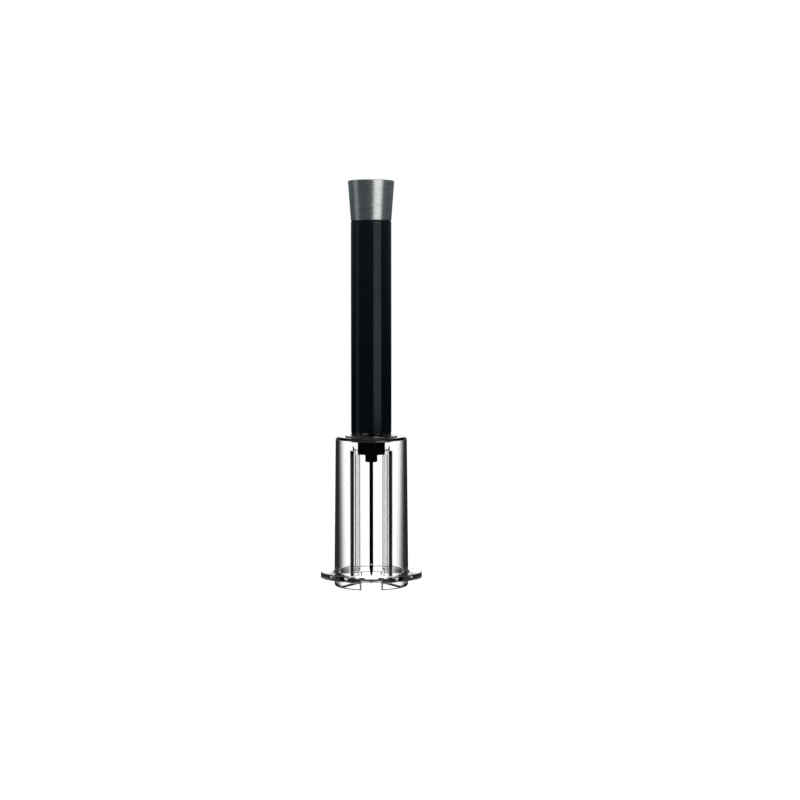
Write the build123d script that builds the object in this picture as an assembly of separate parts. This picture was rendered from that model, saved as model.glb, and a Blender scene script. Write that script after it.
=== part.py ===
# Air pump wine opener: a hollow needle under a hand pump, inside a clear sleeve that
# seats on the bottle's mouth. Lengths in millimetres, angles in degrees, Z up, and the
# origin where the axis meets the surface that the sleeve stands on.

import math
import os

from build123d import *

# Whole object
overall_height = 195.0
needle_tip_height = 3.4
cut_overrun = 1.0
running_gap = 0.05
seat_gap = 0.2
edge_break = 0.3

# Clear sleeve: wall, top plate and the hole that slides on the pump tube
sleeve_bore_radius = 15.9
sleeve_top_radius = 17.2
sleeve_foot_radius = 17.9
sleeve_top_height = 72.2
plate_thickness = 1.4
plate_corner_radius = 1.6
plate_hole_gap = 0.2
collar_width = 2.65
collar_height = 0.5
friction_groove_depth = 0.9
friction_groove_width = 1.0

# Ribs that keep the cork in line, in two mirrored pairs
rib_bearing = 56.0
rib_thickness = 1.3
rib_inner_radius = 10.5
rib_top_drop = 4.5
rib_slope_share = 0.55
rib_slope_drop = 2.0
rib_nose_chamfer = 0.5

# Finger flange, a flat oval ring
flange_half_width = 24.5
flange_half_depth = 18.5
flange_underside_height = 3.8
flange_thickness = 2.8
flange_edge_round = 0.4
flange_root_fillet = 1.1
flange_root_run_out = 1.2

# Skirt under the flange, which takes the bottle's lip
skirt_root_radius = 18.0
skirt_foot_radius = 17.7
skirt_edge_round = 0.7
recess_radius = 16.2
recess_depth = 5.3
notch_width = 9.8

# Pump tube
tube_radius = 9.75
tube_wall = 1.2
tube_foot_gap = 1.6
tube_edge_break = 0.25

# Hub that closes the tube's foot and holds the valve and the needle
hub_step = 3.1
hub_stem_length = 10.8
hub_foot_chamfer = 0.9
hub_plug_length = 11.8
plug_groove_rise = 3.1
seal_ring_section = 1.5
air_passage_radius = 1.0
valve_chamber_radius = 3.1
seat_pocket_radius = 5.2
seat_pocket_depth = 4.0

# Clear bush between the hub and the sleeve's plate
bush_step = 0.15
bush_lip_cover = 0.3
bush_lip_thickness = 0.9

# Needle and its ferrule
needle_radius = 0.9
needle_bore_radius = 0.45
needle_point_length = 4.5
needle_point_radius = 0.12
needle_shank_radius = 1.2
needle_port_radius = 0.35
needle_port_rise = 2.1
needle_port_pitch = 2.4
needle_port_count = 2
ferrule_radius = 2.93
ferrule_length = 3.7
ferrule_edge_round = 0.5
ferrule_spigot_radius = 2.1
ferrule_spigot_length = 2.7
needle_seal_thickness = 1.0

# Non-return valve
valve_ball_radius = 2.2
valve_seat_hole_radius = 1.5
valve_seat_thickness = 1.8
valve_lift = 1.2
valve_spring_radius = 1.6
valve_spring_wire_radius = 0.2
valve_spring_turns = 3.5
valve_spring_slack = 0.4
valve_spring_gap = 0.15
retainer_hole_radius = 3.0

# Bump stop on the hub
bump_stop_thickness = 1.6
bump_stop_margin = 0.4
bump_stop_hole_radius = 3.0

# Piston: nut, washer, cup, head and cushion on the rod, from the foot up
piston_rest_gap = 0.8
nut_across_flats = 7.0
nut_height = 2.6
washer_radius = 5.0
washer_thickness = 0.8
cup_height = 4.6
cup_wall = 1.0
cup_base_thickness = 1.2
cup_gap = 0.05
head_gap = 0.25
head_height = 4.0
cushion_radius = 5.6
cushion_thickness = 2.0
rod_radius = 3.0
rod_thread_radius = 2.0

# Gland at the tube's top
gland_length = 8.0
gland_recess = 1.6
gland_edge_chamfer = 0.4
wiper_section = 1.4
clip_groove_depth = 0.5
clip_thickness = 0.9
clip_width = 1.6
clip_opening_angle = 50.0
clip_lug_radius = 1.0
clip_eye_radius = 0.4
vent_radius = 0.6
vent_circle_radius = 5.6
vent_count = 3

# Handle cap and what holds it on the rod
cap_height = 19.3
cap_foot_radius = 9.7
cap_top_radius = 11.15
cap_rim_chamfer = 0.5
cap_rim_step = 0.35
cap_cavity_radius = 7.4
cap_roof_thickness = 4.5
insert_length = 10.0
lock_nut_across_flats = 8.0
lock_nut_height = 2.4

# Heights and radii worked out from the sizes above
plate_underside_height = sleeve_top_height - plate_thickness
plate_hole_radius = tube_radius + plate_hole_gap
collar_radius = plate_hole_radius + collar_width
friction_ring_height = sleeve_top_height + (collar_height - plate_thickness) / 2
bush_radius = tube_radius - bush_step
hub_radius = tube_radius - hub_step
bush_lip_radius = plate_hole_radius + bush_lip_cover
rib_top_height = plate_underside_height - rib_top_drop
flange_top_height = flange_underside_height + flange_thickness
tube_bore_radius = tube_radius - tube_wall
tube_foot_height = sleeve_top_height + collar_height + tube_foot_gap
hub_foot_height = tube_foot_height - hub_stem_length
hub_top_height = tube_foot_height + hub_plug_length
plug_groove_height = tube_foot_height + plug_groove_rise
ferrule_foot_height = hub_foot_height - ferrule_length
needle_shoulder_height = needle_tip_height + needle_point_length
needle_seat_height = hub_foot_height + ferrule_spigot_length
seat_floor_height = hub_top_height - seat_pocket_depth
seat_top_height = seat_floor_height + valve_seat_thickness
bump_stop_top_height = hub_top_height + bump_stop_thickness
cap_foot_height = overall_height - cap_height
tube_top_height = cap_foot_height - seat_gap
insert_top_height = overall_height - cap_roof_thickness
insert_foot_height = insert_top_height - insert_length
gland_top_height = tube_top_height - gland_recess
gland_foot_height = gland_top_height - gland_length
clip_foot_height = gland_top_height
nut_foot_height = bump_stop_top_height + piston_rest_gap
washer_foot_height = nut_foot_height + nut_height
cup_base_height = washer_foot_height + washer_thickness
cup_top_height = cup_base_height + cup_base_thickness
head_top_height = cup_top_height + head_height
cushion_top_height = head_top_height + cushion_thickness
pump_stroke = gland_foot_height - cushion_top_height
guide_travel = ferrule_foot_height - recess_depth
ball_touch_drop = math.sqrt(valve_ball_radius**2 - valve_seat_hole_radius**2)
ball_centre_height = seat_floor_height - ball_touch_drop
spring_top_height = ball_centre_height - math.sqrt(valve_ball_radius**2 - valve_spring_radius**2)
spring_solid_height = 2 * valve_spring_wire_radius * valve_spring_turns
spring_foot_height = spring_top_height - spring_solid_height - valve_lift - valve_spring_slack


def disc(radius, foot, top):
    """A plain round solid about the Z axis."""
    return Pos(0, 0, foot) * Cylinder(radius, top - foot, align=(Align.CENTER, Align.CENTER, Align.MIN))


def ring(outer, inner, foot, top):
    """A round solid with a hole through it."""
    return disc(outer, foot, top) - disc(inner, foot - cut_overrun, top + cut_overrun)


def turned(points):
    """A solid turned about the Z axis from an outline of radius and height pairs."""
    outline = Polyline(*[(radius, 0, height) for radius, height in points], close=True)
    return revolve(make_face(outline), Axis.Z)


def seal_ring(inner, section, height):
    """A round rubber ring whose inside is the given radius."""
    return Pos(0, 0, height) * Torus(inner + section / 2, section / 2)


def hexagon(across_flats, foot, height):
    """A six-sided block, as a nut is cut from."""
    profile = RegularPolygon(across_flats / 2, 6, major_radius=False)
    return extrude(Pos(0, 0, foot) * profile, height)


def nut(across_flats, foot, height, thread):
    """A hexagon nut with its corners turned off at both ends."""
    chamfer_height = (across_flats / math.sqrt(3) - across_flats / 2) * math.tan(math.radians(30))
    rounding = turned([
        (0, foot),
        (across_flats / 2, foot),
        (across_flats / math.sqrt(3), foot + chamfer_height),
        (across_flats / math.sqrt(3), foot + height - chamfer_height),
        (across_flats / 2, foot + height),
        (0, foot + height),
    ])
    block = hexagon(across_flats, foot, height) & rounding
    return block - disc(thread, foot - cut_overrun, foot + height + cut_overrun)


def edges_at(shape, radius, height):
    """The full circles of one radius at one height."""
    return [
        edge for edge in shape.edges().filter_by(GeomType.CIRCLE)
        if abs(edge.radius - radius) < edge_break / 10
        and abs(edge.arc_center.Z - height) < edge_break / 10
    ]


# Clear sleeve

def sleeve_wall():
    """The drafted wall with its top plate, its corner rounded, closed at this stage."""
    wall = turned([
        (0, flange_underside_height),
        (sleeve_foot_radius, flange_underside_height),
        (sleeve_top_radius, sleeve_top_height),
        (0, sleeve_top_height),
    ])
    wall = fillet(edges_at(wall, sleeve_top_radius, sleeve_top_height), plate_corner_radius)
    collar = disc(collar_radius, sleeve_top_height, sleeve_top_height + collar_height)
    collar = chamfer(edges_at(collar, collar_radius, sleeve_top_height + collar_height), edge_break)
    return wall + collar


def finger_flange():
    """The oval plate that the fingers pull on, rounded along both edges."""
    oval = Pos(0, 0, flange_underside_height) * Ellipse(flange_half_width, flange_half_depth)
    plate = extrude(oval, flange_thickness)
    return fillet(plate.edges().filter_by(Plane.XY), flange_edge_round)


def flange_root():
    """The hollow corner between the wall and the flange, which runs out where the flange is narrow."""
    wall_lean = (sleeve_foot_radius - sleeve_top_radius) / (sleeve_top_height - flange_underside_height)
    wall_radius = sleeve_foot_radius - wall_lean * flange_thickness
    top = flange_top_height + flange_root_fillet
    foot_out = wall_radius + flange_root_fillet
    middle = wall_radius + flange_root_fillet * (1 - math.sqrt(0.5))
    middle_height = top - flange_root_fillet * math.sqrt(0.5)
    start = (foot_out, 0, flange_top_height)
    end = (wall_radius, 0, top)
    hollow = ThreePointArc(start, (middle, 0, middle_height), end)
    back = Polyline(end, (sleeve_bore_radius, 0, top), (sleeve_bore_radius, 0, flange_top_height), start)
    corner = revolve(make_face([hollow, back]), Axis.Z)
    oval = Pos(0, 0, flange_underside_height) * Ellipse(
        flange_half_width - flange_root_run_out, flange_half_depth - flange_root_run_out)
    return corner & extrude(oval, flange_thickness + flange_root_fillet)


def skirt():
    """The short cone under the flange, with its foot rounded."""
    cone = turned([
        (0, 0),
        (skirt_foot_radius, 0),
        (skirt_root_radius, flange_underside_height),
        (0, flange_underside_height),
    ])
    return fillet(edges_at(cone, skirt_foot_radius, 0), skirt_edge_round)


def ribs():
    """Four upright ribs, whose tops slope down from the wall and run level to the chamfered nose."""
    outer = (sleeve_bore_radius + sleeve_top_radius) / 2
    slope_foot = sleeve_bore_radius - rib_slope_share * (sleeve_bore_radius - rib_inner_radius)
    level = rib_top_height - rib_slope_drop
    outline = Polyline(
        (rib_inner_radius, 0, recess_depth),
        (outer, 0, recess_depth),
        (outer, 0, rib_top_height),
        (sleeve_bore_radius, 0, rib_top_height),
        (slope_foot, 0, level),
        (rib_inner_radius + rib_nose_chamfer, 0, level),
        (rib_inner_radius, 0, level - rib_nose_chamfer),
        close=True)
    blank = extrude(make_face(outline), rib_thickness / 2, both=True)
    bearings = (rib_bearing, 180 - rib_bearing, 180 + rib_bearing, 360 - rib_bearing)
    return [Rot(0, 0, bearing) * blank for bearing in bearings]


def make_guide_sleeve():
    """One clear moulding: plate, wall, ribs, finger flange and skirt."""
    sleeve = sleeve_wall() + finger_flange() + skirt() + flange_root()
    sleeve -= disc(sleeve_bore_radius, -cut_overrun, plate_underside_height)
    sleeve -= disc(plate_hole_radius, plate_underside_height - cut_overrun,
                   sleeve_top_height + collar_height + cut_overrun)
    for rib in ribs():
        sleeve += rib
    sleeve -= disc(recess_radius, -cut_overrun, recess_depth)
    notch = Box(notch_width, 2 * (skirt_root_radius + cut_overrun), flange_underside_height + cut_overrun,
                align=(Align.CENTER, Align.CENTER, Align.MIN))
    sleeve -= Pos(0, 0, -cut_overrun) * notch
    groove_foot = friction_ring_height - friction_groove_width / 2
    sleeve -= disc(plate_hole_radius + friction_groove_depth, groove_foot,
                   groove_foot + friction_groove_width)
    return sleeve


def make_friction_ring():
    """The silicone ring in the plate's groove, which drags on the tube."""
    inner = tube_radius + running_gap
    section = min(friction_groove_width, plate_hole_radius + friction_groove_depth - inner)
    return seal_ring(inner, section, friction_ring_height)


# Pump tube and what closes its foot

def make_pump_tube():
    """The black tube, grooved inside at the top for the gland's clip."""
    tube = ring(tube_radius, tube_bore_radius, tube_foot_height, tube_top_height)
    rims = edges_at(tube, tube_radius, tube_foot_height) + edges_at(tube, tube_radius, tube_top_height)
    tube = chamfer(rims, tube_edge_break)
    groove = disc(tube_bore_radius + clip_groove_depth, clip_foot_height, clip_foot_height + clip_thickness)
    return tube - groove


def make_needle_hub():
    """The black hub: its plug fills the tube's foot and its bore holds valve and needle."""
    groove_floor = tube_bore_radius - seal_ring_section
    plug = disc(tube_bore_radius, tube_foot_height, hub_top_height)
    plug -= ring(tube_bore_radius + cut_overrun, groove_floor,
                 plug_groove_height - seal_ring_section / 2, plug_groove_height + seal_ring_section / 2)
    stem = disc(hub_radius, hub_foot_height, tube_foot_height)
    stem = chamfer(edges_at(stem, hub_radius, hub_foot_height), hub_foot_chamfer)
    hub = plug + stem
    hub -= disc(ferrule_spigot_radius, hub_foot_height - cut_overrun,
                needle_seat_height + needle_seal_thickness)
    hub -= disc(air_passage_radius, needle_seat_height, hub_top_height)
    hub -= disc(valve_chamber_radius, spring_foot_height, hub_top_height)
    hub -= disc(seat_pocket_radius, seat_floor_height, hub_top_height + cut_overrun)
    return hub


def make_slide_bush():
    """The clear bush that fills the plate's hole under the tube, with its lip below the plate."""
    body = ring(bush_radius, hub_radius, plate_underside_height - seat_gap, tube_foot_height)
    lip_top = plate_underside_height - seat_gap
    lip = ring(bush_lip_radius, hub_radius, lip_top - bush_lip_thickness, lip_top)
    lip = chamfer(edges_at(lip, bush_lip_radius, lip_top - bush_lip_thickness), edge_break)
    return body + lip


def make_hub_seal_ring():
    """The rubber ring in the plug's groove."""
    return seal_ring(tube_bore_radius - seal_ring_section, seal_ring_section, plug_groove_height)


def make_needle_ferrule():
    """The collar that grips the needle and screws into the hub."""
    collar = disc(ferrule_radius, ferrule_foot_height, hub_foot_height)
    collar = fillet(edges_at(collar, ferrule_radius, ferrule_foot_height), ferrule_edge_round)
    spigot = disc(ferrule_spigot_radius, hub_foot_height, needle_seat_height)
    return collar + spigot - disc(needle_shank_radius, ferrule_foot_height - cut_overrun,
                                  needle_seat_height + cut_overrun)


def make_needle_seal():
    """The washer that seals the top of the ferrule in the hub."""
    return ring(ferrule_spigot_radius, air_passage_radius, needle_seat_height,
                needle_seat_height + needle_seal_thickness)


def make_needle():
    """The hollow steel needle: a closed point, cross ports above it and a thicker shank in the ferrule."""
    needle = turned([
        (0, needle_tip_height),
        (needle_point_radius, needle_tip_height),
        (needle_radius, needle_shoulder_height),
        (needle_radius, ferrule_foot_height),
        (needle_shank_radius, ferrule_foot_height),
        (needle_shank_radius, needle_seat_height),
        (0, needle_seat_height),
    ])
    needle -= disc(needle_bore_radius, needle_shoulder_height, needle_seat_height + cut_overrun)
    for index in range(needle_port_count):
        port = Cylinder(needle_port_radius, 2 * (needle_radius + cut_overrun))
        height = needle_shoulder_height + needle_port_rise + index * needle_port_pitch
        needle -= Pos(0, 0, height) * Rot(0, 0, 90 * index) * Rot(90, 0, 0) * port
    return needle


# Non-return valve

def make_valve_seat():
    """The brass seat that the ball closes from below."""
    return ring(seat_pocket_radius, valve_seat_hole_radius, seat_floor_height, seat_top_height)


def make_valve_retainer():
    """The threaded ring that holds the seat down in its pocket."""
    return ring(seat_pocket_radius, retainer_hole_radius, seat_top_height, hub_top_height)


def make_valve_ball():
    """The ball, held up against the seat's edge."""
    return Pos(0, 0, ball_centre_height - running_gap) * Sphere(valve_ball_radius)


def make_valve_spring():
    """The light spring under the ball, one unbroken coil."""
    foot = spring_foot_height + valve_spring_wire_radius
    top = spring_top_height - valve_spring_wire_radius - valve_spring_gap
    pitch = (top - foot) / valve_spring_turns
    path = Pos(0, 0, foot) * Helix(pitch, top - foot, valve_spring_radius)
    section = Plane(path @ 0, z_dir=path % 0) * Circle(valve_spring_wire_radius)
    return sweep(section, path, is_frenet=True)


def make_bump_stop():
    """The rubber ring that the piston lands on."""
    return ring(tube_bore_radius - bump_stop_margin, bump_stop_hole_radius,
                hub_top_height, bump_stop_top_height)


# Gland at the tube's top

def make_rod_gland():
    """The bush that guides the rod, with vents for the air that the piston draws in."""
    gland = ring(tube_bore_radius, rod_radius + running_gap, gland_foot_height, gland_top_height)
    gland = chamfer(edges_at(gland, tube_bore_radius, gland_foot_height), gland_edge_chamfer)
    groove_height = (gland_foot_height + gland_top_height) / 2
    gland -= disc(rod_radius + running_gap + wiper_section, groove_height - wiper_section / 2,
                  groove_height + wiper_section / 2)
    for index in range(vent_count):
        vent = disc(vent_radius, gland_foot_height - cut_overrun, gland_top_height + cut_overrun)
        gland -= Rot(0, 0, index * 360 / vent_count) * Pos(vent_circle_radius, 0, 0) * vent
    return gland


def make_rod_wiper():
    """The rubber ring in the gland, which keeps the rod clean."""
    height = (gland_foot_height + gland_top_height) / 2
    return seal_ring(rod_radius + running_gap, wiper_section, height)


def make_gland_clip():
    """The spring clip in the tube's groove, open between its two eyes."""
    outer = tube_bore_radius + clip_groove_depth
    foot = clip_foot_height
    top = foot + clip_thickness
    clip = ring(outer, outer - clip_width, foot, top)
    reach = outer + cut_overrun
    half = math.radians(clip_opening_angle / 2)
    wedge = Polyline((0, 0), (reach * math.cos(half), reach * math.sin(half)),
                     (reach / math.cos(half), 0),
                     (reach * math.cos(half), -reach * math.sin(half)), close=True)
    clip -= extrude(Pos(0, 0, foot - cut_overrun) * make_face(wedge), clip_thickness + 2 * cut_overrun)
    lug_circle = outer - clip_groove_depth - running_gap - clip_lug_radius
    for side in (1, -1):
        place = Rot(0, 0, side * (clip_opening_angle / 2 + math.degrees(clip_lug_radius / lug_circle)))
        clip += place * Pos(lug_circle, 0, 0) * disc(clip_lug_radius, foot, top)
    for side in (1, -1):
        place = Rot(0, 0, side * (clip_opening_angle / 2 + math.degrees(clip_lug_radius / lug_circle)))
        clip -= place * Pos(lug_circle, 0, 0) * disc(clip_eye_radius, foot - cut_overrun, top + cut_overrun)
    return clip


# Piston and handle

def make_piston_rod():
    """The steel rod, turned down at its foot for the piston."""
    thread_foot = nut_foot_height
    shank = disc(rod_radius, cup_top_height, insert_top_height)
    return shank + disc(rod_thread_radius, thread_foot, cup_top_height)


def make_piston_nut():
    """The nut that clamps the cup to the head."""
    return nut(nut_across_flats, nut_foot_height, nut_height, rod_thread_radius)


def make_cup_washer():
    """The washer between the nut and the cup."""
    return ring(washer_radius, rod_thread_radius, washer_foot_height, cup_base_height)


def make_piston_cup():
    """The rubber cup, its lip turned down towards the air that it presses."""
    outer = tube_bore_radius - cup_gap
    lip_foot = cup_top_height - cup_height
    return turned([
        (rod_thread_radius, cup_base_height),
        (outer - cup_wall - cup_base_thickness / 2, cup_base_height),
        (outer - cup_wall, cup_base_height - cup_base_thickness / 2),
        (outer - cup_wall / 2, lip_foot),
        (outer, lip_foot),
        (outer, cup_top_height - cup_base_thickness / 2),
        (outer - cup_base_thickness / 2, cup_top_height),
        (rod_thread_radius, cup_top_height),
    ])


def make_piston_head():
    """The head that backs the cup and keeps the rod central."""
    outer = tube_bore_radius - head_gap
    head = ring(outer, rod_radius, cup_top_height, head_top_height)
    return chamfer(edges_at(head, outer, head_top_height), edge_break)


def make_cushion_ring():
    """The rubber ring that meets the gland at the end of the stroke."""
    return ring(cushion_radius, rod_radius, head_top_height, cushion_top_height)


def make_handle_cap():
    """The flared metal cap, hollow below its roof."""
    cap = turned([
        (0, cap_foot_height),
        (cap_foot_radius - cap_rim_step, cap_foot_height),
        (cap_foot_radius, cap_foot_height + cap_rim_step),
        (cap_top_radius, overall_height - cap_rim_chamfer),
        (cap_top_radius - cap_rim_chamfer, overall_height),
        (0, overall_height),
    ])
    return cap - disc(cap_cavity_radius, cap_foot_height - cut_overrun, insert_top_height)


def make_cap_insert():
    """The plastic core that is pressed into the cap and takes the rod's end."""
    return ring(cap_cavity_radius, rod_radius, insert_foot_height, insert_top_height)


def make_rod_lock_nut():
    """The nut that locks the rod in the insert."""
    foot = insert_foot_height - lock_nut_height
    return nut(lock_nut_across_flats, foot, lock_nut_height, rod_radius)


pieces = {
    "guide_sleeve": make_guide_sleeve,
    "friction_ring": make_friction_ring,
    "pump_tube": make_pump_tube,
    "needle_hub": make_needle_hub,
    "slide_bush": make_slide_bush,
    "hub_seal_ring": make_hub_seal_ring,
    "needle_ferrule": make_needle_ferrule,
    "needle_seal": make_needle_seal,
    "needle": make_needle,
    "valve_seat": make_valve_seat,
    "valve_retainer": make_valve_retainer,
    "valve_ball": make_valve_ball,
    "valve_spring": make_valve_spring,
    "bump_stop": make_bump_stop,
    "rod_gland": make_rod_gland,
    "rod_wiper": make_rod_wiper,
    "gland_clip": make_gland_clip,
    "piston_rod": make_piston_rod,
    "piston_nut": make_piston_nut,
    "cup_washer": make_cup_washer,
    "piston_cup": make_piston_cup,
    "piston_head": make_piston_head,
    "cushion_ring": make_cushion_ring,
    "handle_cap": make_handle_cap,
    "cap_insert": make_cap_insert,
    "rod_lock_nut": make_rod_lock_nut,
}

os.makedirs("parts", exist_ok=True)
for name, make in pieces.items():
    export_step(make(), f"parts/{name}.step")
print(f"pump stroke {pump_stroke:.2f} mm")
print(f"sleeve travel {guide_travel:.2f} mm")
print(f"valve lift {valve_lift:.2f} mm")
print(f"spring from {spring_foot_height:.2f} to {spring_top_height:.2f} mm")
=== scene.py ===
"""Looks of the air pump wine opener: clear flanged sleeve, black pump tube, needle and sand-cast cap."""

import math

import bmesh
import bpy
import numpy as np
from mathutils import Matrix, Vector


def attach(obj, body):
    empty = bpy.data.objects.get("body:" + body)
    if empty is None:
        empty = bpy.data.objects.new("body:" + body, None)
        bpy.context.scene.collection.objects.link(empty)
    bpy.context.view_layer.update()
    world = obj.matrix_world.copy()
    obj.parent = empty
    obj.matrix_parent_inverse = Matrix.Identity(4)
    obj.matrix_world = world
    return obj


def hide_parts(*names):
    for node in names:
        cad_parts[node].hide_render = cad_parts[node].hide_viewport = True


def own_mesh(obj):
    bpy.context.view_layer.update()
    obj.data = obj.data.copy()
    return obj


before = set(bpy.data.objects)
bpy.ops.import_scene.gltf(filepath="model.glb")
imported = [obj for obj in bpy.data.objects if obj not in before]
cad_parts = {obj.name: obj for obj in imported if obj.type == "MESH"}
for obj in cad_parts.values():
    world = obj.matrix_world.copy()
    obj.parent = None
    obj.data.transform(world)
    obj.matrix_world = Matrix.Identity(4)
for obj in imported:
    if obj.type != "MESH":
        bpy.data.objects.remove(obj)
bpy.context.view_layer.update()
mm = 0.001


# Camera. It stands 847 mm before the pump's axis and 133 mm above the table, three degrees nose down, and
# is turned right by as much as leaves the pump a little left of the picture's middle.
eye_distance = 846.5 * mm
eye_height = 133.0 * mm
nose_down = 2.921
turned_right = 0.939

eye_data = bpy.data.cameras.new("eye")
eye_data.lens = 79.05
eye_data.sensor_width = 36.0
eye = bpy.data.objects.new("eye", eye_data)
eye.location = (0, -eye_distance, eye_height)
eye.rotation_euler = (math.radians(90 - nose_down), 0, math.radians(-turned_right))
bpy.context.scene.collection.objects.link(eye)
bpy.context.scene.camera = eye


# Light. A plain white room: one soft strip in front on the right, a weak card on the left, and a bright
# wall behind with dark flanks, which is how clear mouldings are lit so that their edges show.
class Amount:
    """A number from a shader socket that takes part in sums, each of which adds its Math node."""

    def __init__(self, socket):
        self.socket = socket

    def result(self, operation, *terms):
        """A Math node in this number's tree, with the terms on its sockets in their order."""
        node = self.socket.node.id_data.nodes.new("ShaderNodeMath")
        node.operation = operation
        for slot, term in zip(node.inputs, terms):
            join(slot, term)
        return Amount(node.outputs[0])

    def math(self, operation, *others):
        """The same with this number as the first term."""
        return self.result(operation, self, *others)

    def beside(self, output):
        """Another output, by name or number, of the node that this number comes from."""
        return Amount(self.socket.node.outputs[output])

    def __add__(self, other):
        return self.math("ADD", other)

    def __sub__(self, other):
        return self.math("SUBTRACT", other)

    def __rsub__(self, other):
        return self.result("SUBTRACT", other, self)

    def __mul__(self, other):
        return self.math("MULTIPLY", other)

    __radd__ = __add__
    __rmul__ = __mul__


def join(slot, term):
    """Gives a socket a plain value, or a link where the term is an Amount."""
    if isinstance(term, Amount):
        slot.id_data.links.new(term.socket, slot)
    else:
        slot.default_value = term


class Finish:
    """A node tree that is put together one node at a time."""

    def __init__(self, name):
        self.material = bpy.data.materials.new(name)
        self.material.use_nodes = True
        self.tree = self.material.node_tree
        self.tree.nodes.clear()

    def node(self, kind, settings=None, sockets=None, out=0):
        """One node: its settings are set first, then its sockets by name or number."""
        node = self.tree.nodes.new("ShaderNode" + kind)
        for name, value in (settings or {}).items():
            if name == "stops":
                while len(node.color_ramp.elements) < len(value):
                    node.color_ramp.elements.new(0.5)
                for element, (place, colour) in zip(node.color_ramp.elements, value):
                    element.position = place
                    element.color = (*colour, 1)
            else:
                setattr(node, name, value)
        for name, value in (sockets or {}).items():
            join(node.inputs[name], value)
        return Amount(node.outputs[out]) if node.outputs else None

    def surface(self, sockets):
        """Closes the tree with the shader that all finishes here share."""
        shader = self.node("BsdfPrincipled", None, sockets)
        self.node("OutputMaterial", None, {"Surface": shader})
        return self.material


class Room(Finish):
    """The world's own node tree, put together in the same way."""

    def __init__(self, name):
        world = bpy.data.worlds.new(name)
        world.use_nodes = True
        self.tree = world.node_tree
        self.tree.nodes.clear()
        world.cycles.sampling_method = "NONE"
        bpy.context.scene.world = world


def step_between(finish, value, low, high):
    """0 below the first edge, 1 above the second, smooth in between."""
    return finish.node("MapRange", {"interpolation_type": "SMOOTHSTEP"},
                       {0: value, 1: low, 2: high, 3: 0.0, 4: 1.0})


def band(value, begins, ends):
    """In the room: 1 from the end of the first step to the start of the second, and 0 outside both."""
    return step_between(room, value, *begins) * (1 - step_between(room, value, *ends))


# Directions in the room are a turn from straight behind the pump and a rise above the level, in degrees. A pair
# of angles is where a change starts and where it is complete.
wall_white = 1.25
flank_dark = 0.03
flank_starts = (6.0, 15.5)
flank_deepens = (12.0, 30.0)
deepening = 0.25
flank_ends = (34.0, 44.0)
flanks_rise = (-16.0, -9.0)
flanks_stop = (40.0, 60.0)
dark_above = ((4.0, 8.0), (60.0, 75.0))
dark_depth = 0.93

# The same wall as the moulding shows it by its inner reflections, below and above the level.
turned_back_low = 0.03
turned_back_high = 0.4
turned_back_rise = (1.5, 4.0)

# What the outer surfaces mirror: a low glow, the wall above the eye's height, and the ceiling.
glow = 0.25
glow_band = ((-2.5, 3.5), (8.0, 20.0))
mirror_wall = 1.1
above_eye = (2.6, 3.9)
front_loss = 0.85
front_starts = (40.0, 70.0)
ceiling_glow = 0.5
ceiling_starts = (65.0, 78.0)

# What lights matt surfaces. The camera itself sees the room plain white.
room_light = 1.16

room = Room("room")
across = room.node("SeparateXYZ", None, {0: room.node("TexCoord")})
turn = across.math("ARCTAN2", across.beside(1)) * (180 / math.pi)
rise = across.beside(2).math("ARCSINE") * (180 / math.pi)
from_wall = turn.math("ABSOLUTE").math("PINGPONG", 90.0)
from_square = from_wall.math("PINGPONG", 45.0)

camera_ray = room.node("LightPath")
through = camera_ray.beside("Is Transmission Ray")
turned_back = camera_ray.beside("Glossy Depth").math("MINIMUM", 1.0)
scattered = camera_ray.beside("Diffuse Depth").math("MINIMUM", 1.0)

corner_flank = step_between(room, from_square, *flank_starts)
side_flank = ((1 - deepening) * step_between(room, from_wall, *flank_starts)
              + deepening * step_between(room, from_wall, *flank_deepens))
side_flank = side_flank * (1 - step_between(room, from_wall, *flank_ends))
high = step_between(room, rise, *turned_back_rise)
back_wall = turned_back_low + (turned_back_high - turned_back_low) * high
wall = wall_white + (back_wall - wall_white) * turned_back
flank = side_flank + (corner_flank * (1 - high) - side_flank) * turned_back
seen_through = wall - (wall - flank_dark) * flank * band(rise, flanks_rise, flanks_stop)
seen_through = seen_through * (1 - dark_depth * band(rise, *dark_above))

towards_wall = 1 - front_loss * step_between(room, turn.math("ABSOLUTE"), *front_starts)
mirrored = glow * band(rise, *glow_band)
mirrored = mirrored + mirror_wall * step_between(room, rise, *above_eye) * (1 - corner_flank) * towards_wall
mirrored = mirrored + ceiling_glow * step_between(room, rise, *ceiling_starts)

strength = through * seen_through + (1 - through) * mirrored
strength = scattered * room_light + (1 - scattered) * strength
strength = camera_ray + (1 - camera_ray) * strength
shade = room.node("ValToRGB", {"stops": [(0.35, (0.62, 0.86, 1.0)), (0.8, (1.0, 1.0, 1.0))]},
                  {"Fac": strength + through})
room.node("OutputWorld", None, {"Surface": room.node("Background", None, {"Color": shade, "Strength": strength})})


def soft_box(name, bearing, distance, height, width, tall, watts):
    """A soft box that faces the pump from a bearing in degrees, counted rightwards from the camera's side."""
    box_data = bpy.data.lights.new(name, "AREA")
    box_data.shape = "RECTANGLE"
    box_data.size = width
    box_data.size_y = tall
    box_data.energy = watts
    box = bpy.data.objects.new(name, box_data)
    angle = math.radians(bearing)
    box.location = (distance * math.sin(angle), -distance * math.cos(angle), height)
    box.rotation_euler = (Vector((0, 0, height)) - box.location).to_track_quat("-Z", "Y").to_euler()
    box.visible_camera = False
    box.visible_transmission = False
    bpy.context.scene.collection.objects.link(box)


soft_box("strip", bearing=35.5, distance=0.70, height=0.535, width=0.56, tall=1.00, watts=2.9)
soft_box("card", bearing=-84, distance=0.70, height=0.16, width=0.26, tall=1.10, watts=0.32)
bpy.context.scene.view_settings.view_transform = "Standard"
bpy.context.scene.view_settings.look = "None"


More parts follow.
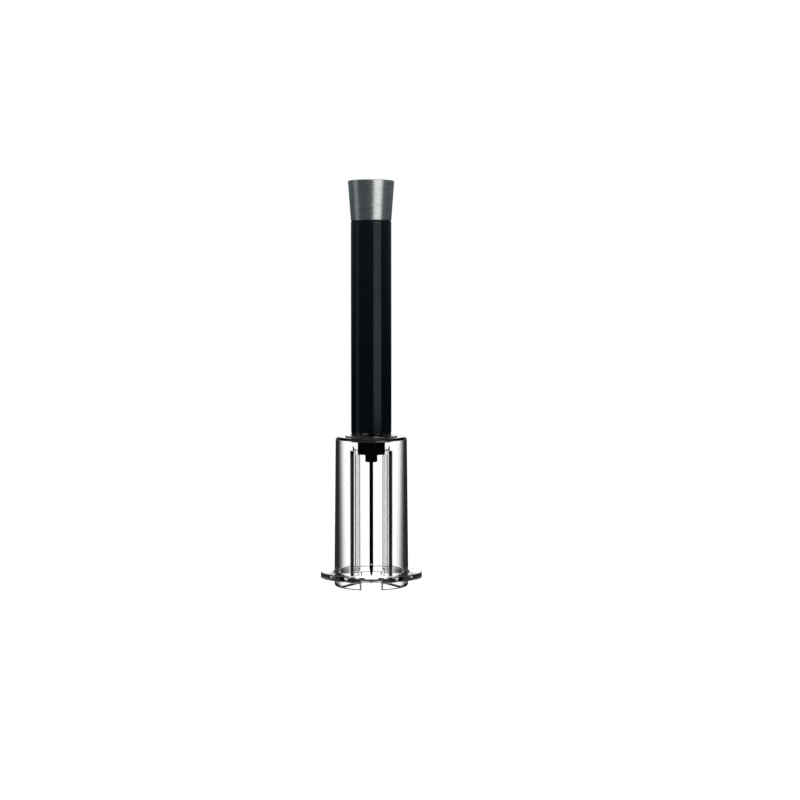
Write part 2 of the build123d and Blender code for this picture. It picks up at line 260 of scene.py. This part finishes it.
# Table top. A pale, matt laminate sheet that the opener stands on. It is stage, not part of the opener, and
# hidden from gloss and from the clear sleeve, which show the white room in its place.
table_half = 6.0
table_grey = (0.93, 0.93, 0.925, 1)
crease = 28
merge_gap = 2e-7


def grid_of(name, points, ring_closed, run_closed):
    """Mesh of a grid of points: each cell joins its point to the next one round and the next one along."""
    rows, columns = points.shape[:2]
    number = np.arange(rows * columns).reshape(rows, columns)
    beside = np.roll(number, -1, 1)
    above = np.roll(number, -1, 0)
    corner = np.roll(above, -1, 1)
    cells = np.stack([number, beside, corner, above], -1)
    cells = cells[:rows if run_closed else rows - 1, :columns if ring_closed else columns - 1]
    mesh = bpy.data.meshes.new(name)
    mesh.from_pydata(points.reshape(-1, 3).tolist(), [], cells.reshape(-1, 4).tolist())
    form = bmesh.new()
    form.from_mesh(mesh)
    bmesh.ops.remove_doubles(form, verts=form.verts, dist=merge_gap)
    bmesh.ops.recalc_face_normals(form, faces=form.faces)
    form.to_mesh(mesh)
    form.free()
    mesh.polygons.foreach_set("use_smooth", np.ones(len(mesh.polygons), bool))
    mesh.set_sharp_from_angle(angle=math.radians(crease))
    piece = bpy.data.objects.new(name, mesh)
    bpy.context.scene.collection.objects.link(piece)
    return piece


table_lines = np.linspace(-table_half, table_half, 9)
table_x, table_y = np.meshgrid(table_lines, table_lines)
table_top = grid_of("table_top", np.stack([table_x, table_y, 0 * table_x], -1), False, False)

table = Finish("pale_laminate")
place = table.node("TexCoord", None, None, "Object")
mottle = table.node("TexNoise", None, {"Vector": place, "Scale": 900.0, "Detail": 3.0})
table_top.data.materials.append(table.surface({
    "Base Color": table_grey,
    "Roughness": 0.75 + 0.1 * mottle,
    "Specular IOR Level": 0.2,
}))
table_top.visible_glossy = False
table_top.visible_transmission = False


# Clear sleeve. One polished acrylic moulding: top plate with its collar, drafted wall, four ribs, oval
# finger flange, and a skirt that is notched front and back. It slides on the tube and seats on the bottle.
bore = 15.9
plate_hole = 9.95
collar = 12.6
wall_top = 17.2
wall_foot = 17.9
sleeve_top = 72.2
collar_top = 72.7
plate_under = 70.8
plate_fillet = 0.22
oval_long = 24.5
oval_short = 18.5
oval_under = 3.8
oval_over = 6.6
oval_edge = 0.4
root_fillet = 1.1
root_fillet_short = 0.25
skirt_root = 18.0
skirt_foot = 17.7
recess = 16.2
recess_roof = 5.3
lip_flare = 0.25
seat_foot = 3.2
notch_half = 4.9
notch_round = 0.7
notch_angle = math.degrees(math.asin(notch_half / 17.1))
rib_turns = (56.0, 124.0, 236.0, 304.0)
rib_span = 5.0
rib_nose = 10.5
rib_half = 0.65
rib_nose_round = 0.5
rib_top = 66.3
rib_level = 64.3
rib_slope_foot = 12.93
rib_chamfer = 0.5
arc = 7


def rounded(corners, steps):
    """Outline of radius and height pairs in which each corner is an arc that touches both of its sides.

    The arc's ends lie at rounding / tan(half the corner's angle) from the corner, and its points are the
    corner's centre plus the rounding times the unit vector that turns from one end to the other.
    """
    data = np.array(corners, float)
    spot, radius = data[:, :2], data[:, 2]
    back = np.roll(spot, 1, 0) - spot
    ahead = np.roll(spot, -1, 0) - spot
    back /= np.linalg.norm(back, axis=1)[:, None]
    ahead /= np.linalg.norm(ahead, axis=1)[:, None]
    half = np.arccos(np.clip((back * ahead).sum(1), -1, 1)) / 2
    middle = back + ahead
    middle /= np.maximum(np.linalg.norm(middle, axis=1), 1e-9)[:, None]
    centre = spot + middle * (radius / np.sin(half))[:, None]
    start = spot + back * (radius / np.tan(half))[:, None] - centre
    end = spot + ahead * (radius / np.tan(half))[:, None] - centre
    share = np.linspace(0, 1, steps)[None, :, None]
    sweep = (math.pi - 2 * half)[:, None, None]
    turning = np.sin((1 - share) * sweep) * start[:, None] + np.sin(share * sweep) * end[:, None]
    turning /= np.maximum(np.sin(sweep), 1e-9)
    return (centre[:, None] + turning).reshape(-1, 2)


def sleeve_columns():
    """Bearings of the sleeve's columns in degrees, close together at the ribs and at the notches' edges.

    The plain columns stand evenly between these, and none is left so near to them that a cell gets thin: the
    gaps are kept from every fourteenth column of the ribs, near their middles and ends, and from the edges.
    """
    rib_gap, edge_gap = 5.6, 2.9
    plain = np.arange(0, 360, 1.25)
    rib = np.concatenate([turn + np.linspace(-rib_span, rib_span, 29) for turn in rib_turns])
    plain = plain[np.min(np.abs((plain[:, None] - rib[::14] + 180) % 360 - 180), 1) > rib_gap]
    edges = np.array([90 - notch_angle, 90 + notch_angle, 270 - notch_angle, 270 + notch_angle])
    plain = plain[np.min(np.abs(plain[:, None] - edges), 1) > edge_gap]
    off = np.array([0.01, 0.12, 0.35, 0.7, 1.2, 1.75, 2.35])
    notch = (edges[:, None] + np.concatenate([-off, off])).ravel()
    return np.sort(np.concatenate([plain, rib % 360, notch]))


def rib_reach(bearing, nose):
    """Inner outline with ribs: a point for each column's bearing, with the ribs' noses at one radius.

    A column within the rib's span goes out along the rib as a share of its angle from the rib's middle: over
    half the nose, round its corner, up the side, and over a small fillet to the bore. The table gives these
    stations as the share, the distance along the rib and the distance across it.
    """
    turn = np.array(rib_turns)
    away = (bearing[:, None] - turn + 180) % 360 - 180
    pick = np.argmin(np.abs(away), 1)
    away = away[np.arange(len(bearing)), pick]
    share = np.clip(np.abs(away) / rib_span, 0, 1)
    side = np.sign(away)
    root = math.sqrt(bore**2 - (rib_half + 0.25)**2)
    stations = np.array([
        (0, nose, 0),
        (0.16, nose, rib_half - rib_nose_round),
        (0.20, nose + 0.3 * rib_nose_round, rib_half - 0.3 * rib_nose_round),
        (0.24, nose + rib_nose_round, rib_half),
        (0.30, nose + 1.6 * rib_nose_round, rib_half),
        (0.80, root - 0.5, rib_half),
        (0.86, root - 0.25, rib_half + 0.06),
        (0.93, root - 0.05, rib_half + 0.2),
        (1, bore * math.cos(math.radians(rib_span)), bore * math.sin(math.radians(rib_span))),
    ])
    along = np.interp(share, stations[:, 0], stations[:, 1])
    across = side * np.interp(share, stations[:, 0], stations[:, 2])
    middle = np.radians(turn[pick])
    rib = np.stack([along * np.cos(middle) - across * np.sin(middle),
                    along * np.sin(middle) + across * np.cos(middle)], -1)
    circle = bore * np.stack([np.cos(np.radians(bearing)), np.sin(np.radians(bearing))], -1)
    return np.where((share < 1)[:, None], rib, circle)


def outer_rings():
    """Half widths and heights of the oval rings from the plate's hole over the top and down to the recess.

    Each row is half the ring's length, half its breadth and its height. Rings close beside a rounding keep
    the flat or the wall next to it from shading as if it were curved.
    """
    lean = (wall_foot - wall_top) / (sleeve_top - oval_under)
    wall_low = wall_foot - lean * (oval_over + root_fillet - oval_under)
    top = rounded([
        (plate_hole, plate_under, 0.12), (plate_hole, collar_top, 0.2), (collar, collar_top, 0.22),
        (collar, sleeve_top, 0.12), (collar + 0.3, sleeve_top, 0), (wall_top - 1.9, sleeve_top, 0),
        (wall_top, sleeve_top, 1.6), (wall_low, oval_over + root_fillet, 0),
    ], arc)[:-arc]
    levels = np.array([sleeve_top - 1.75, sleeve_top - 2.1, *np.linspace(sleeve_top - 4, oval_over + 1.6, 30)])
    wall = np.column_stack([wall_top + lean * (sleeve_top - levels), levels])
    turns = np.radians(np.linspace(0, 90, 8))
    quarter = np.column_stack([np.sin(turns), np.cos(turns)])
    fillet = [(wall_low + root_fillet * (1 - cosine), wall_low + root_fillet_short * (1 - cosine),
               oval_over + root_fillet * (1 - sine)) for sine, cosine in quarter]
    length, breadth = oval_long - oval_edge, oval_short - oval_edge
    flange = [(length - back, breadth - 0.04 * back, oval_over) for back in (2.0, 0.3)]
    flange += [(length + out, breadth + out, oval_over - oval_edge + up) for out, up in oval_edge * quarter]
    flange += [(length + out, breadth + out, oval_under + oval_edge - down) for down, out in oval_edge * quarter]
    flange += [(skirt_root + 0.9, skirt_root + 0.06, oval_under)]
    flange += [(skirt_root + 0.02, skirt_root + 0.02, oval_under)]
    lip, seat_top = recess + lip_flare, bore + 0.05
    skirt = rounded([
        (skirt_root, oval_under, 0), (skirt_foot, 0, 0.7), (lip, 0, 0.25), (lip, seat_foot, 0.4),
        (seat_top, recess_roof, 0.02), (bore - 0.5, recess_roof, 0),
    ], arc)
    seat = [(lip + (seat_top - lip) * (level - seat_foot) / (recess_roof - seat_foot), level)
            for level in (oval_under - 0.03, oval_under + 0.03)]
    skirt = np.concatenate([skirt[arc:4 * arc], seat, skirt[4 * arc:5 * arc]])
    return np.concatenate([top[:, [0, 0, 1]], wall[:, [0, 0, 1]], fillet, flange, skirt[:, [0, 0, 1]]])


def inner_rings(bearing):
    """Rings of the bore from the recess's roof up the ribs, over their sloped tops and across the ceiling.

    Up to the ribs' tops, each is the ribbed outline with the noses at the radius that goes with its height.
    Above them, each is a circle.
    """
    levels = [(recess_roof, rib_nose + 0.35), (recess_roof + 0.04, rib_nose + 0.12), (recess_roof + 0.16, rib_nose)]
    levels += [(z, rib_nose) for z in np.linspace(recess_roof + 1, rib_level - rib_chamfer, 24)]
    levels += [(rib_level - rib_chamfer * share, rib_nose + rib_chamfer * (1 - share)) for share in (0.5, 0.12)]
    levels += [(rib_level, rib_nose + rib_chamfer + 0.05)]
    levels += [(rib_level, rib_slope_foot + (rib_nose - rib_slope_foot) * share) for share in (0.66, 0.33, 0.04)]
    levels += [(rib_level + share * (rib_top - rib_level), rib_slope_foot + share * (bore - 0.28 - rib_slope_foot))
               for share in (0.03, 0.2, 0.4, 0.6, 0.8, 0.94, 0.99)]
    ribbed = [np.column_stack([rib_reach(bearing, nose), np.full(len(bearing), z)]) for z, nose in levels]
    ceiling_turns = np.radians(np.linspace(20, 90, 5))
    circles = [(bore, z) for z in (rib_top, rib_top + 0.3, rib_top + 1.5, plate_under - 0.5,
                                   plate_under - plate_fillet)]
    circles += [(bore - plate_fillet * (1 - math.cos(turn)), plate_under - plate_fillet * (1 - math.sin(turn)))
                for turn in ceiling_turns]
    circles += [(bore - 0.5, plate_under), (plate_hole + 2.0, plate_under)]
    unit = np.stack([np.cos(np.radians(bearing)), np.sin(np.radians(bearing))], -1)
    plain = [np.column_stack([radius * unit, np.full(len(bearing), z)]) for radius, z in circles]
    return np.array(ribbed + plain)


def sleeve_grid():
    """All rings in one grid, an oval's point being its two half widths times the bearing's cosine and sine.

    Below the flange, the notches are cut: the columns at their edges move across to straight edges, the ones
    beside these are drawn in on both faces as a quarter round, and the ones between them go up to the
    flange's underside.
    """
    bearing = sleeve_columns()
    outer = outer_rings()
    rings = np.stack([outer[:, :1] * np.cos(np.radians(bearing)), outer[:, 1:2] * np.sin(np.radians(bearing)),
                      np.repeat(outer[:, 2:], len(bearing), 1)], -1)
    rings = np.concatenate([rings, inner_rings(bearing)])
    reach = np.hypot(rings[..., 0], rings[..., 1])
    on_skirt = (rings[..., 2] < oval_under + 0.02) & (reach < skirt_root + 0.5)
    from_middle = np.abs((bearing % 180) - 90)

    edges = np.nonzero(np.abs(from_middle - notch_angle) < 0.02)[0]
    cut = rings[:, edges]
    depth = np.sqrt(np.maximum(reach[:, edges]**2 - notch_half**2, 0))
    straight = np.stack([np.sign(cut[..., 0]) * notch_half, np.sign(cut[..., 1]) * depth, cut[..., 2]], -1)
    rings[:, edges] = np.where(on_skirt[:, edges, None], straight, cut)

    beside = np.radians(from_middle - notch_angle) * skirt_foot
    spare = notch_round - np.clip(beside, 0, notch_round)
    drawn_in = np.where(beside > 0, notch_round - np.sqrt(np.maximum(notch_round**2 - spare**2, 0)), 0)
    reach = np.hypot(rings[..., 0], rings[..., 1])
    way_in = np.where(reach > (recess + skirt_foot) / 2, -1, 1)
    rings[..., :2] *= np.where(on_skirt, (reach + way_in * drawn_in) / reach, 1)[..., None]

    lifted = on_skirt & (from_middle < notch_angle)
    rings[..., 2] = np.where(lifted, np.maximum(rings[..., 2], oval_under), rings[..., 2])
    return rings * mm


sleeve = grid_of("clear_sleeve", sleeve_grid(), True, True)

acrylic = Finish("polished_acrylic")
place = acrylic.node("TexCoord", None, None, "Object")
waves = acrylic.node("TexNoise", None, {"Vector": place, "Scale": 60.0, "Detail": 1.0})
haze = acrylic.node("TexNoise", None, {"Vector": place, "Scale": 350.0, "Detail": 3.0})
relief = acrylic.node("Bump", None, {"Strength": 0.04, "Distance": 0.0002, "Height": waves})
acrylic_look = acrylic.surface({
    "Base Color": (0.985, 0.99, 0.99, 1),
    "Roughness": 0.004 * haze,
    "IOR": 1.49,
    "Specular IOR Level": 0.2,
    "Transmission Weight": 1.0,
    "Normal": relief,
})
sleeve.data.materials.append(acrylic_look)
sleeve.visible_shadow = False
sleeve.visible_diffuse = False
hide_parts("guide_sleeve")
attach(sleeve, "guide")


# Slide bush and friction ring. The bush under the tube's foot is the same acrylic, turned. The ring in the
# plate's groove is clear silicone, a little cloudy, and drags on the tube.
def dress(look, *names):
    """Gives CAD nodes a finish in place of the plain one that they were packed with."""
    for name in names:
        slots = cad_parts[name].data.materials
        slots.clear()
        slots.append(look)


dress(acrylic_look, "slide_bush")

silicone = Finish("cloudy_silicone")
place = silicone.node("TexCoord", None, None, "Object")
cloud = silicone.node("TexNoise", None, {"Vector": place, "Scale": 500.0, "Detail": 2.0})
dress(silicone.surface({
    "Base Color": (0.9, 0.92, 0.92, 1),
    "Roughness": 0.02 + 0.05 * cloud,
    "IOR": 1.41,
    "Transmission Weight": 1.0,
}), "friction_ring")


# Pump tube. Drawn aluminium, turned with fine lines, then anodised black. The hub closes its foot, and a
# groove inside its top takes the gland's clip.
tube_outer = 9.75
tube_bore = 8.55
tube_foot = 74.3
tube_top = 175.5
groove_foot = 173.9
groove_top = 174.8
groove = tube_bore + 0.5

around = np.radians(np.arange(0, 360, 1.5))


def turned(name, corners, steps):
    """Surface of revolution: an outline with rounded corners, swung about the pump's axis."""
    outline = rounded(corners, steps) * mm
    radius, height = outline[:, :1], outline[:, 1:]
    points = np.stack([radius * np.cos(around), radius * np.sin(around), height + 0 * around], -1)
    return grid_of(name, points, True, True)


tube = turned("pump_tube_black", [
    (tube_bore, tube_foot, 0.15), (tube_outer, tube_foot, 0.25), (tube_outer, tube_foot + 0.5, 0),
    (tube_outer, tube_top - 0.5, 0), (tube_outer, tube_top, 0.25), (tube_bore, tube_top, 0.2),
    (tube_bore, groove_top, 0), (groove, groove_top, 0), (groove, groove_foot, 0), (tube_bore, groove_foot, 0),
], 5)

anodised = Finish("black_anodising")
place = anodised.node("TexCoord", None, None, "Object")
squeezed = anodised.node("Mapping", None, {"Vector": place, "Scale": (1.0, 1.0, 14.0)})
lines = anodised.node("TexNoise", None, {"Vector": squeezed, "Scale": 90.0, "Detail": 4.0, "Roughness": 0.7})
blotch = anodised.node("TexNoise", None, {"Vector": place, "Scale": 45.0, "Detail": 3.0})
relief = anodised.node("Bump", None, {"Strength": 0.35, "Distance": 0.0001, "Height": lines})
tint = anodised.node("ValToRGB", {"stops": [(0.3, (0.0008, 0.0016, 0.0030)), (0.7, (0.0014, 0.0028, 0.0046))]},
                     {"Fac": lines * 0.6 + blotch * 0.4})
tube.data.materials.append(anodised.surface({
    "Base Color": tint,
    "Roughness": 0.08 + 0.06 * lines + 0.03 * blotch,
    "Specular IOR Level": 0.06,
    "Coat Weight": 0.02 + 0.55 * lines,
    "Coat Roughness": 0.12,
    "Normal": relief,
}))
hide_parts("pump_tube")
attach(tube, "pump")


# Hub, ferrule and gland. Moulded in black nylon with a fine spark-eroded grain. The hub closes the tube's
# foot, the ferrule in it grips the needle, and the gland at the top guides the rod.
nylon = Finish("black_nylon")
place = nylon.node("TexCoord", None, None, "Object")
grain = nylon.node("TexNoise", None, {"Vector": place, "Scale": 2600.0, "Detail": 2.0})
wear = nylon.node("TexNoise", None, {"Vector": place, "Scale": 120.0, "Detail": 4.0})
relief = nylon.node("Bump", None, {"Strength": 0.3, "Distance": 0.00003, "Height": grain})
tint = nylon.node("ValToRGB", {"stops": [(0.3, (0.0002, 0.0002, 0.0002)), (0.7, (0.0006, 0.0006, 0.0006))]},
                  {"Fac": wear})
dress(nylon.surface({
    "Base Color": tint,
    "Roughness": 0.38 + 0.12 * wear,
    "Specular IOR Level": 0.01,
    "Normal": relief,
}), "needle_hub", "needle_ferrule", "rod_gland")


# Rod, nuts, washer and ball. Stainless steel, ground round, with the fine lines of the wheel. The nuts
# clamp the cup to the rod's foot and lock its top in the cap's insert.
steel = Finish("ground_steel")
place = steel.node("TexCoord", None, None, "Object")
squeezed = steel.node("Mapping", None, {"Vector": place, "Scale": (1.0, 1.0, 30.0)})
lines = steel.node("TexNoise", None, {"Vector": squeezed, "Scale": 260.0, "Detail": 3.0})
relief = steel.node("Bump", None, {"Strength": 0.2, "Distance": 0.00001, "Height": lines})
tint = steel.node("ValToRGB", {"stops": [(0.3, (0.50, 0.50, 0.51)), (0.7, (0.62, 0.62, 0.62))]}, {"Fac": lines})
steel_look = steel.surface({
    "Base Color": tint,
    "Metallic": 1.0,
    "Roughness": 0.16 + 0.12 * lines,
    "Normal": relief,
})
dress(steel_look, "piston_rod", "piston_nut", "cup_washer", "rod_lock_nut", "valve_ball")


# Valve spring. Three and a half coils of the same steel, wound from wire, that hold the ball on its seat.
# Its foot stands in the hub, and the dropping ball presses it together.
spring_foot = 75.98
spring_height = 3.0
spring_gap = 0.15
coil_radius = 1.6
wire = 0.2
coils = 3.5
coil_stations = 141


def coil_grid():
    """Tube round a helix: rings of the wire's radius that stand across a line which climbs as it turns.

    The line climbs evenly. The first and the last ring are drawn in to a point, which closes the ends.
    """
    climb = spring_height - 2 * wire - spring_gap
    share = np.concatenate([[0], np.linspace(0, 1, coil_stations), [1]])[:, None]
    girth = np.concatenate([[0], np.full(coil_stations, wire), [0]])[:, None, None]
    swing = 2 * math.pi * coils * share
    outwards = np.stack([np.cos(swing), np.sin(swing), 0 * swing], -1)
    forwards = np.stack([-coil_radius * np.sin(swing), coil_radius * np.cos(swing),
                         climb / (2 * math.pi * coils) + 0 * swing], -1)
    upwards = np.cross(outwards, forwards / np.linalg.norm(forwards, axis=-1, keepdims=True))
    middle = coil_radius * outwards + np.stack([0 * share, 0 * share, spring_foot + wire + climb * share], -1)
    round_wire = np.radians(np.arange(0, 360, 30))[None, :, None]
    return (middle + girth * (np.cos(round_wire) * outwards + np.sin(round_wire) * upwards)) * mm


spring = grid_of("valve_spring_coil", coil_grid(), True, False)
spring.data.materials.append(steel_look)
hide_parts("valve_spring")
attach(spring, "pump")
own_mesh(spring)


# Needle. A steel tube with a closed point, under a black non-stick coating that is a little worn at the
# point. The ferrule grips its thicker shank.
point_worn = 0.0034
point_coated = 0.0066

coated = Finish("black_needle_coating")
place = coated.node("TexCoord", None, None, "Object")
speckle = coated.node("TexNoise", None, {"Vector": place, "Scale": 1800.0, "Detail": 3.0})
height = coated.node("SeparateXYZ", None, {0: place}, 2)
worn = 1 - step_between(coated, height, point_worn, point_coated)
scuffed = worn * step_between(coated, speckle, 0.46, 0.6)
relief = coated.node("Bump", None, {"Strength": 0.2, "Distance": 0.00001, "Height": speckle})
tint = coated.node("ValToRGB", {"stops": [(0.0, (0.0003, 0.0003, 0.0003)), (1.0, (0.3, 0.3, 0.3))]},
                   {"Fac": scuffed})
dress(coated.surface({
    "Base Color": tint,
    "Metallic": scuffed,
    "Roughness": 0.3 + 0.1 * speckle,
    "Specular IOR Level": 0.01,
    "Normal": relief,
}), "needle")


# Spring clip. Blued spring steel, stamped, with a slightly pebbled skin. It snaps into the groove inside
# the tube's top and holds the gland there.
blued = Finish("blued_spring_steel")
place = blued.node("TexCoord", None, None, "Object")
pebble = blued.node("TexNoise", None, {"Vector": place, "Scale": 1500.0, "Detail": 2.0})
relief = blued.node("Bump", None, {"Strength": 0.2, "Distance": 0.00002, "Height": pebble})
tint = blued.node("ValToRGB", {"stops": [(0.3, (0.16, 0.17, 0.2)), (0.7, (0.24, 0.24, 0.26))]}, {"Fac": pebble})
dress(blued.surface({
    "Base Color": tint,
    "Metallic": 1.0,
    "Roughness": 0.3 + 0.12 * pebble,
    "Normal": relief,
}), "gland_clip")


# Valve seat and its retainer. Turned brass rings: the seat lies in the hub's pocket, where the ball closes
# it from below, and the threaded retainer holds it down.
brass = Finish("turned_brass")
place = brass.node("TexCoord", None, None, "Object")
ringed = brass.node("TexNoise", None, {"Vector": place, "Scale": 700.0, "Detail": 3.0})
relief = brass.node("Bump", None, {"Strength": 0.2, "Distance": 0.00002, "Height": ringed})
tint = brass.node("ValToRGB", {"stops": [(0.3, (0.62, 0.46, 0.2)), (0.7, (0.76, 0.6, 0.3))]}, {"Fac": ringed})
dress(brass.surface({
    "Base Color": tint,
    "Metallic": 1.0,
    "Roughness": 0.22 + 0.15 * ringed,
    "Normal": relief,
}), "valve_seat", "valve_retainer")


# Rubber pieces: seals, wiper, cup, cushion and bump stop. Moulded in black rubber, dusted with a dull
# bloom, and each held in a groove, in a pocket or on the rod.
rubber = Finish("black_rubber_bloom")
place = rubber.node("TexCoord", None, None, "Object")
bloom = rubber.node("TexNoise", None, {"Vector": place, "Scale": 300.0, "Detail": 5.0})
relief = rubber.node("Bump", None, {"Strength": 0.25, "Distance": 0.00005, "Height": bloom})
tint = rubber.node("ValToRGB", {"stops": [(0.3, (0.012, 0.012, 0.013)), (0.7, (0.035, 0.035, 0.035))]},
                   {"Fac": bloom})
dress(rubber.surface({
    "Base Color": tint,
    "Roughness": 0.62 + 0.2 * bloom,
    "Normal": relief,
}), "hub_seal_ring", "needle_seal", "bump_stop", "rod_wiper", "piston_cup", "cushion_ring")


# Piston head and cap insert. Natural white nylon, machined, with faint turning marks. The head backs the
# cup, and the insert is pressed into the cap and takes the rod's end.
white = Finish("natural_nylon")
place = white.node("TexCoord", None, None, "Object")
squeezed = white.node("Mapping", None, {"Vector": place, "Scale": (1.0, 1.0, 20.0)})
marks = white.node("TexNoise", None, {"Vector": squeezed, "Scale": 200.0, "Detail": 3.0})
relief = white.node("Bump", None, {"Strength": 0.2, "Distance": 0.00004, "Height": marks})
tint = white.node("ValToRGB", {"stops": [(0.3, (0.70, 0.69, 0.65)), (0.7, (0.8, 0.79, 0.76))]}, {"Fac": marks})
dress(white.surface({
    "Base Color": tint,
    "Roughness": 0.42 + 0.15 * marks,
    "Normal": relief,
}), "piston_head", "cap_insert")


# Handle cap. Cast zinc, flared towards its top, sand-blasted and plated dark silver. It is hollow below its
# roof, round the insert, and just clears the tube's top when it is down.
cap_foot = 175.7
cap_top = 195.0
cap_foot_radius = 9.7
cap_top_radius = 11.15
cavity = 7.4
cavity_roof = 190.5
flare = (cap_top_radius - cap_foot_radius) / (cap_top - cap_foot)

cap = turned("handle_cap_cast", [
    (0, cap_top, 0), (cap_top_radius - 0.8, cap_top, 0), (cap_top_radius, cap_top, 0.42),
    (cap_top_radius - 0.8 * flare, cap_top - 0.8, 0), (cap_foot_radius + 0.7 * flare, cap_foot + 0.7, 0),
    (cap_foot_radius, cap_foot, 0.35), (cavity, cap_foot, 0.2), (cavity, cavity_roof, 0.3), (0, cavity_roof, 0),
], arc)

blasted = Finish("sand_blasted_silver")
place = blasted.node("TexCoord", None, None, "Object")
sand = blasted.node("TexNoise", None, {"Vector": place, "Scale": 2300.0, "Detail": 2.0, "Roughness": 0.5})
squeezed = blasted.node("Mapping", None, {"Vector": place, "Scale": (1.0, 1.0, 14.0)})
lines = blasted.node("TexNoise", None, {"Vector": squeezed, "Scale": 110.0, "Detail": 3.0})
pits = blasted.node("TexVoronoi", None, {"Vector": place, "Scale": 2300.0})
relief = blasted.node("Bump", None, {"Strength": 0.6, "Distance": 0.00006, "Height": sand * 0.7 + pits * 0.3})
tint = blasted.node("ValToRGB", {"stops": [(0.3, (0.34, 0.355, 0.36)), (0.7, (0.66, 0.66, 0.65))]},
                    {"Fac": sand * 0.6 + lines * 0.4})
cap.data.materials.append(blasted.surface({
    "Base Color": tint,
    "Metallic": 0.95,
    "Roughness": 0.2 + 0.14 * sand,
    "Normal": relief,
}))
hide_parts("handle_cap")
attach(cap, "handle")
